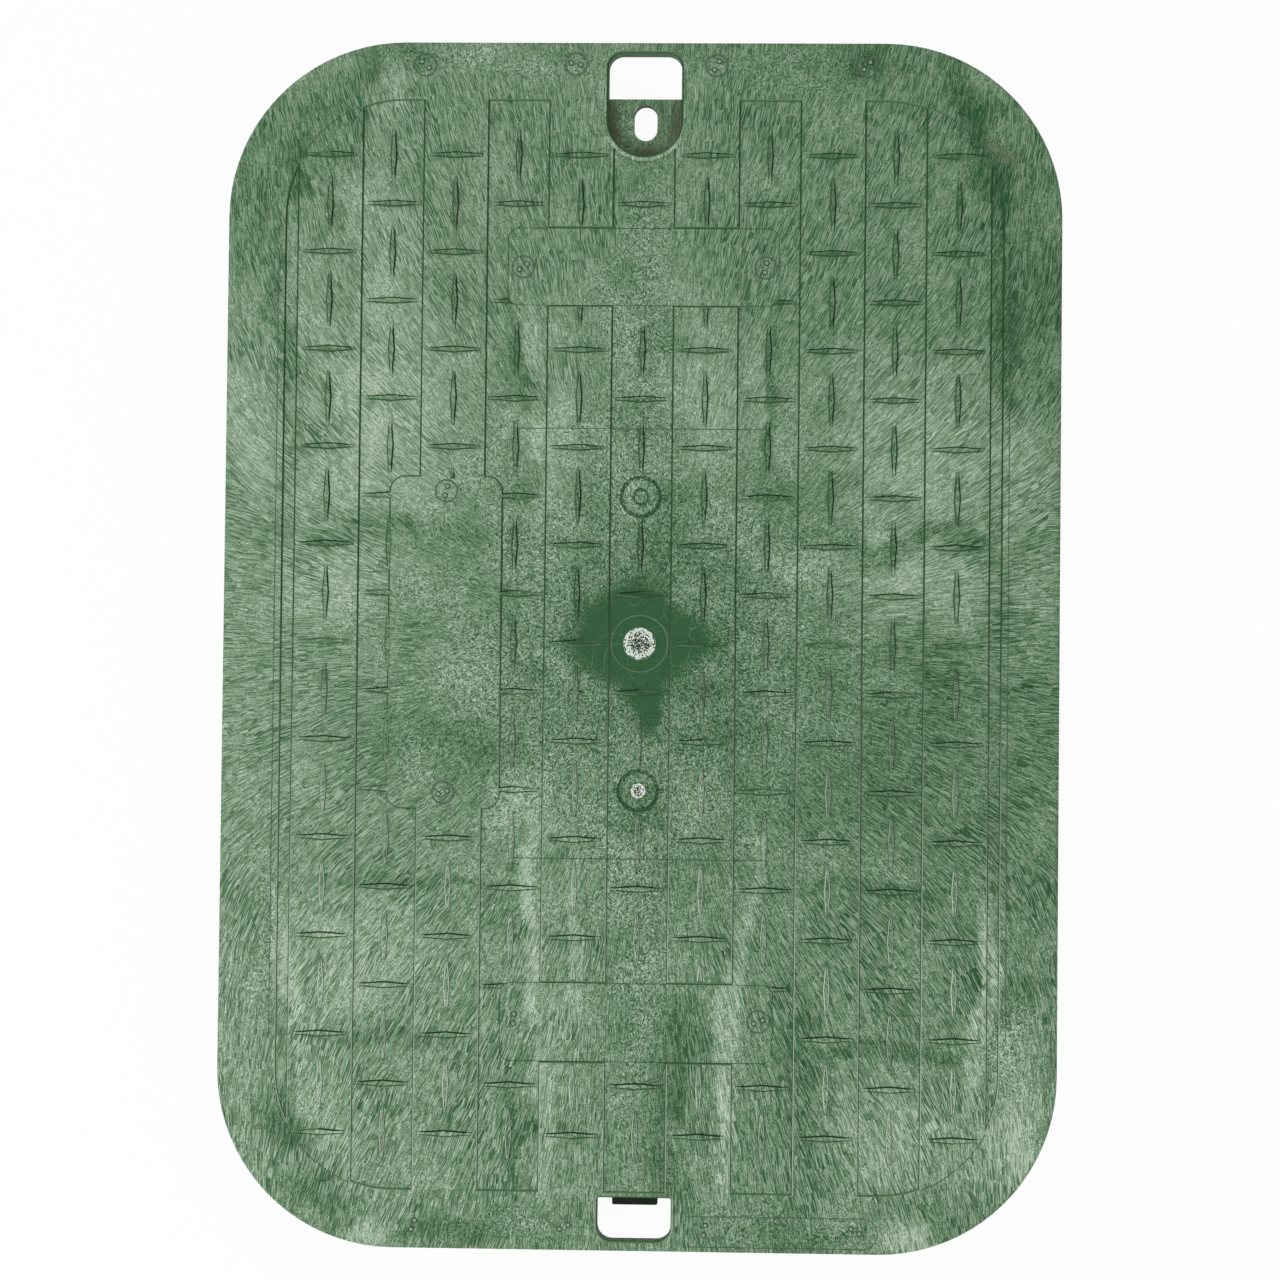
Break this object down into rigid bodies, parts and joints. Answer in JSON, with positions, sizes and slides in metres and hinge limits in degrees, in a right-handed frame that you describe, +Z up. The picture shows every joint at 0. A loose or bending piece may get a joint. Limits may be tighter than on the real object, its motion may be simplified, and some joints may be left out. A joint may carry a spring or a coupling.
{
  "type": "valve box cover",
  "caption": "Rectangular moulded plastic drop-in cover for an irrigation valve box, with a lug tread, two hand slots, a bolt pocket and a ribbed underside.",
  "frame": {"origin": "middle of the plate at the tips of the ribs, the lowest level of the cover", "axes": "+Z up through the tread, +Y along the length towards the hand slot with the bolt pocket, +X across the width"},
  "size_m": [0.35, 0.5054, 0.037],
  "materials": {
    "green_foam_plastic": "green structural-foam moulding with pale flow streaks, half matt"
  },
  "bodies": {
    "root": {"cover": "green_foam_plastic"}
  },
  "joints": []
}
